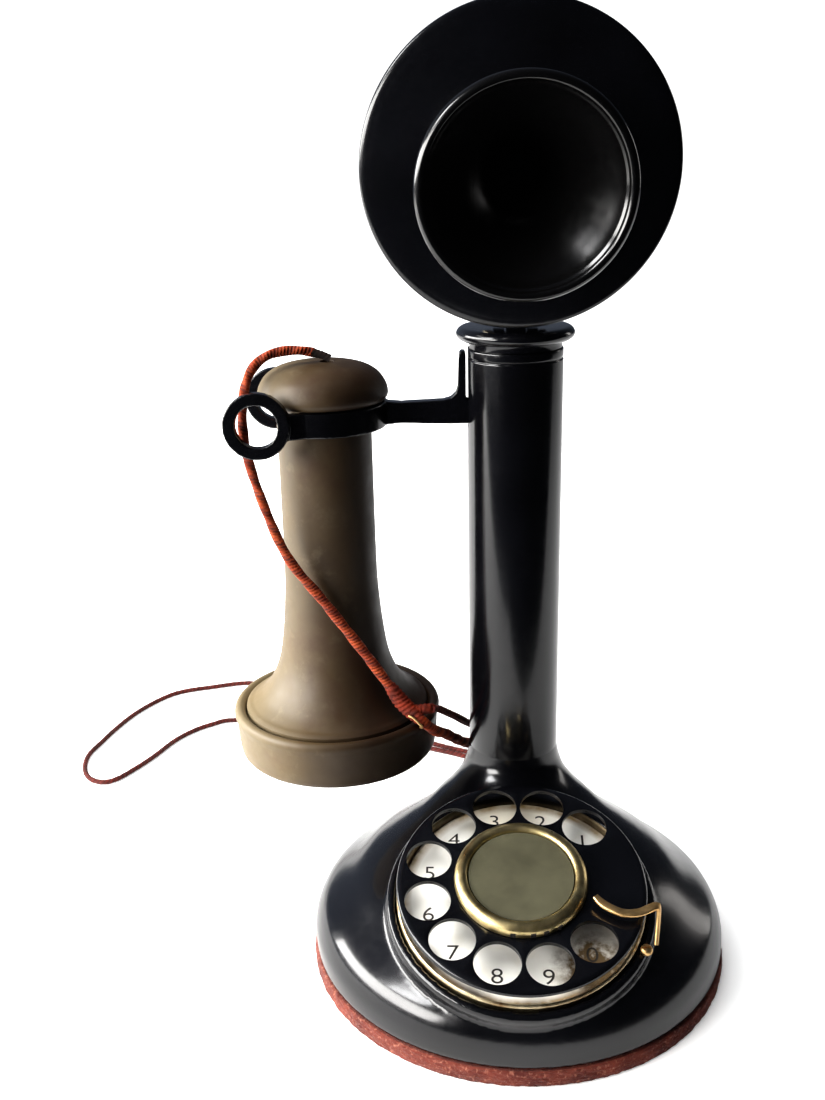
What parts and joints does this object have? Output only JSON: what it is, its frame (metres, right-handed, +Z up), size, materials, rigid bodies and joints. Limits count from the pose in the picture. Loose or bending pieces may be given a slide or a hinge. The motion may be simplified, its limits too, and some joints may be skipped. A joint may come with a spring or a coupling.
{
  "type": "telephone",
  "caption": "Black candlestick telephone with a rotary dial in its round base, a tilting mouthpiece, and a brown receiver hanging in the fork of its switch hook.",
  "frame": {"origin": "centre of the felt underside, on the table", "axes": "+Z up along the stem; the dial and the mouthpiece face -Y; the receiver hangs on the -X side"},
  "size_m": [0.2532, 0.2694, 0.2949],
  "materials": {
    "black_enamel": "glossy black stoving enamel, lightly worn",
    "black_ebonite": "polished black hard rubber",
    "brown_ebonite": "hard rubber weathered to olive brown, satin",
    "aged_brass": "lacquered brass, aged",
    "worn_nickel": "nickel plate, tarnished",
    "steel": "plain steel",
    "copper_winding": "enamelled copper wire",
    "white_enamel_plate": "white enamel with dark figures",
    "grey_card": "blank olive-grey paper card",
    "celluloid": "clear celluloid, slightly yellowed",
    "black_rubber": "black rubber",
    "red_felt": "brick-red felt",
    "rust_braid": "rust-coloured cloth braid"
  },
  "bodies": {
    "stand": {"base_shell": "black_enamel", "stem_tube": "black_enamel", "stem_head": "black_enamel", "base_plate": "steel", "base_screw_1": "steel", "base_screw_2": "steel", "base_screw_3": "steel", "stem_nut": "steel", "switch_frame": "steel", "hook_pivot_pin": "steel", "hook_spring": "steel", "dial_frame": "steel", "mainspring": "steel", "governor_cup": "steel", "felt_pad": "red_felt", "cord_bush": "black_rubber", "lead_bush": "black_rubber", "terminal_block": "black_ebonite", "contact_block": "black_ebonite", "terminal_screw_1": "aged_brass", "terminal_screw_2": "aged_brass", "terminal_screw_3": "aged_brass", "contact_spring_1": "aged_brass", "contact_spring_2": "aged_brass", "contact_spring_3": "aged_brass", "finger_stop": "aged_brass", "finger_stop_screw": "aged_brass", "number_plate": "white_enamel_plate", "dial_bezel": "worn_nickel", "receiver_cord": "rust_braid", "cord_lead_1": "rust_braid", "cord_lead_2": "rust_braid"},
    "dial": {"finger_wheel": "black_enamel", "card_ring": "aged_brass", "number_card": "grey_card", "card_window": "celluloid", "dial_shaft": "steel", "main_gear": "aged_brass"},
    "governor": {"governor_shaft": "steel", "governor_weights": "aged_brass"},
    "hook": {"hook_lever": "black_enamel"},
    "receiver": {"receiver_cap": "brown_ebonite", "receiver_shell": "brown_ebonite", "ear_cap": "brown_ebonite", "receiver_diaphragm": "steel", "receiver_magnet": "steel", "receiver_coil_1": "copper_winding", "receiver_coil_2": "copper_winding", "cord_clip": "aged_brass"},
    "transmitter": {"transmitter_cup": "black_enamel", "faceplate": "black_enamel", "mouthpiece": "black_ebonite", "transmitter_diaphragm": "steel", "carbon_button": "aged_brass", "transmitter_bridge": "steel", "pivot_bolt": "worn_nickel", "pivot_nut": "worn_nickel"}
  },
  "joints": [
    {"name": "dial_turn", "type": "hinge", "parent": "stand", "child": "dial", "pos_m": [0, -0.0302, 0.0437], "axis": [0, -0.3338, 0.9426], "range_deg": [-320, 0], "stiffness_Nm_per_rad": 0.003, "springref_deg": 85.94, "deforming": ["mainspring"]},
    {"name": "governor_spin", "type": "hinge", "parent": "stand", "child": "governor", "pos_m": [0, -0.04787, 0.03744], "axis": [0, -0.3338, 0.9426], "range_deg": [-4, 1284]},
    {"name": "receiver_lift", "type": "slide", "parent": "stand", "child": "receiver", "axis": [-0.5, 0, 0.866], "range_m": [0, 0.08], "deforming": ["receiver_cord", "cord_lead_1", "cord_lead_2"]},
    {"name": "hook_rise", "type": "hinge", "parent": "stand", "child": "hook", "pos_m": [0.002, 0.03, 0.1765], "axis": [0, 1, 0], "range_deg": [0, 8.2], "stiffness_Nm_per_rad": 0.1, "springref_deg": 28.65, "deforming": ["hook_spring"]},
    {"name": "transmitter_tilt", "type": "hinge", "parent": "stand", "child": "transmitter", "pos_m": [0, 0.03, 0.2095], "axis": [-1, 0, 0], "range_deg": [-3, 30]}
  ],
  "couplings": [
    {"joint": "governor_spin", "follows": "dial_turn", "ratio": -4},
    {"joint": "hook_rise", "follows": "receiver_lift", "rad_per_m": 1.745}
  ]
}
